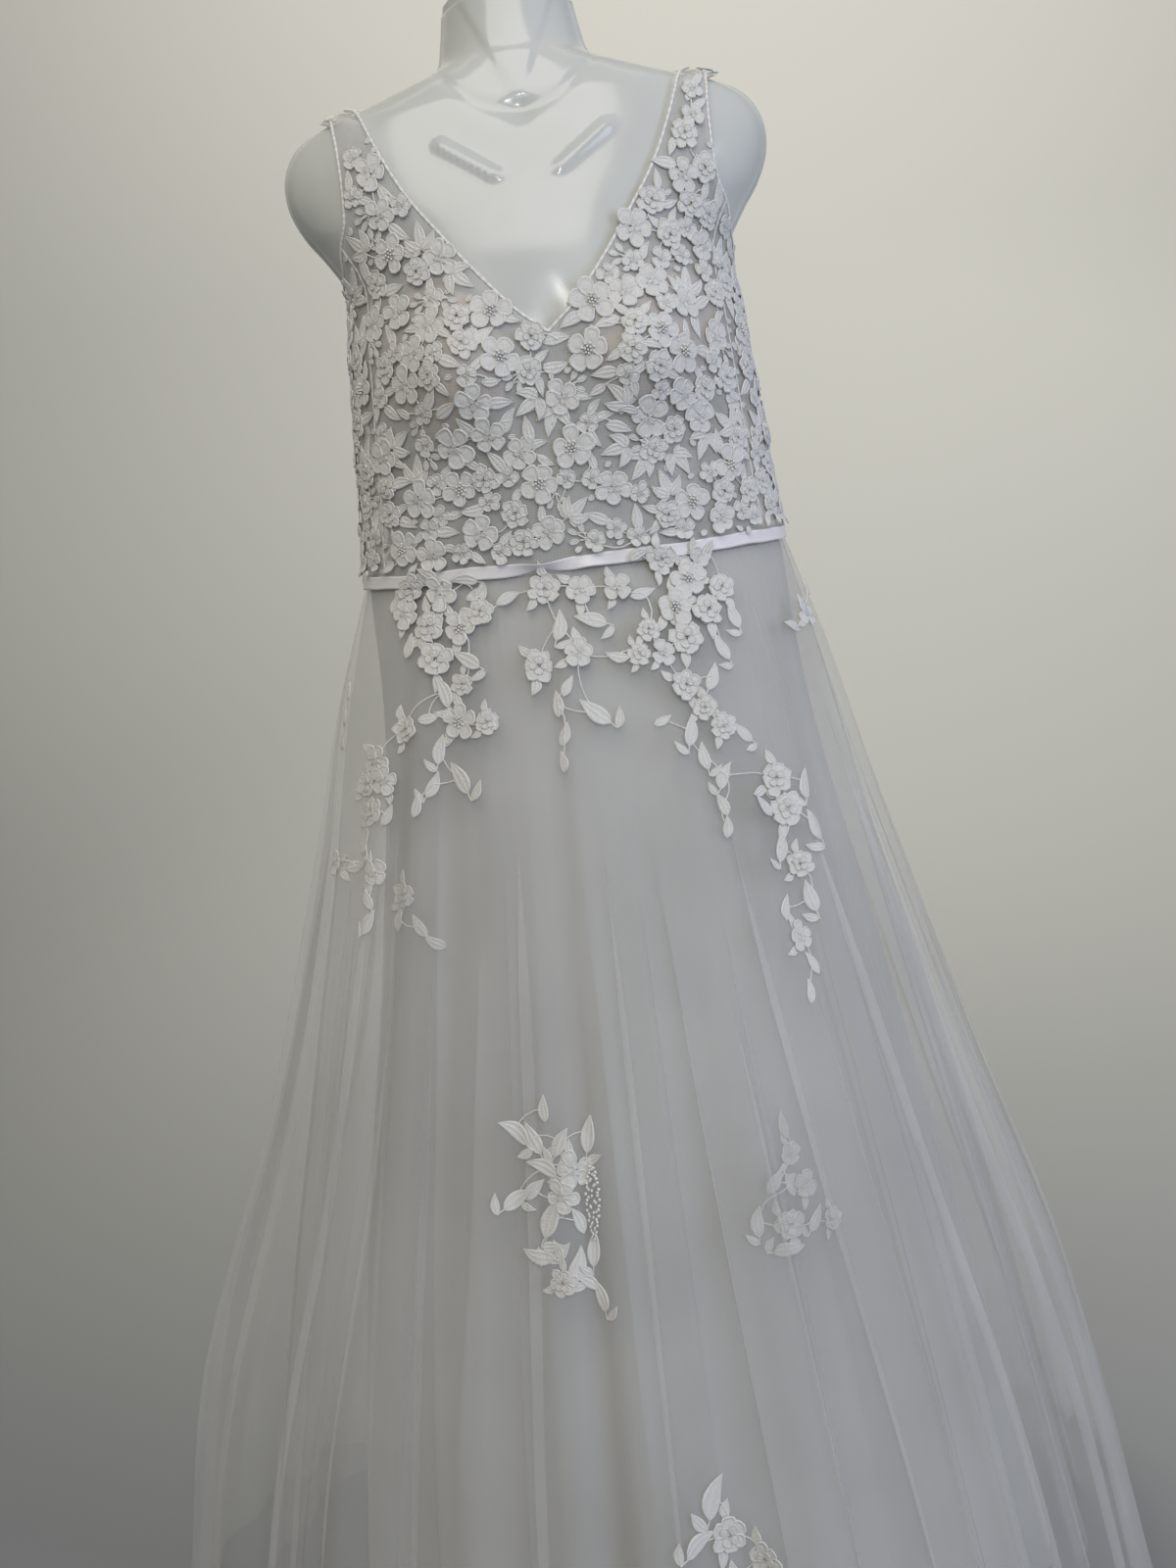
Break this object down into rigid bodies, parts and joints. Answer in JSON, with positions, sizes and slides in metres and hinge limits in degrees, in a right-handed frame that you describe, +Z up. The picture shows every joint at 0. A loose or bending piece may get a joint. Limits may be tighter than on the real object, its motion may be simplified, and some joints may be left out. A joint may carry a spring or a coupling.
{
  "type": "wedding dress on a dress form",
  "caption": "Sleeveless V-neck lace bodice and full three-layer tulle skirt, worn by a limbless hollow-backed dress form on a pole and round base.",
  "frame": {"origin": "centre of the base's underside, on the floor", "axes": "+Z up, -Y towards the front of the dress, +X towards the viewer's right when facing the front"},
  "size_m": [1.0866, 0.7983, 1.6007],
  "materials": {
    "form_plastic": "gloss",
    "lace": "corded embroidery on net",
    "tulle": "sheer net",
    "lining": "soft satin",
    "ribbon_satin": "satin",
    "nude_cup": "matt knit over foam",
    "stand_paint": "satin white"
  },
  "bodies": {
    "root": {"form_shell": "form_plastic", "neck_cap": "form_plastic", "stand_base": "stand_paint", "stand_collar": "stand_paint", "stand_pole": "stand_paint", "bodice_front": "lace", "bodice_side_left": "lace", "bodice_side_right": "lace", "bodice_back_left": "lace", "bodice_back_right": "lace", "cup_left": "nude_cup", "cup_right": "nude_cup", "ribbon_front": "ribbon_satin", "ribbon_back_left": "ribbon_satin", "ribbon_back_right": "ribbon_satin", "button_1": "ribbon_satin", "button_2": "ribbon_satin", "button_3": "ribbon_satin", "button_4": "ribbon_satin", "button_5": "ribbon_satin", "button_6": "ribbon_satin", "button_7": "ribbon_satin", "button_8": "ribbon_satin", "button_9": "ribbon_satin", "outer_front": "tulle", "outer_side_left": "tulle", "outer_side_right": "tulle", "outer_back_left": "tulle", "outer_back_right": "tulle", "middle_front": "tulle", "middle_side_left": "tulle", "middle_side_right": "tulle", "middle_back": "tulle", "lining_front": "lining", "lining_side_left": "lining", "lining_side_right": "lining", "lining_back": "lining"}
  },
  "joints": []
}
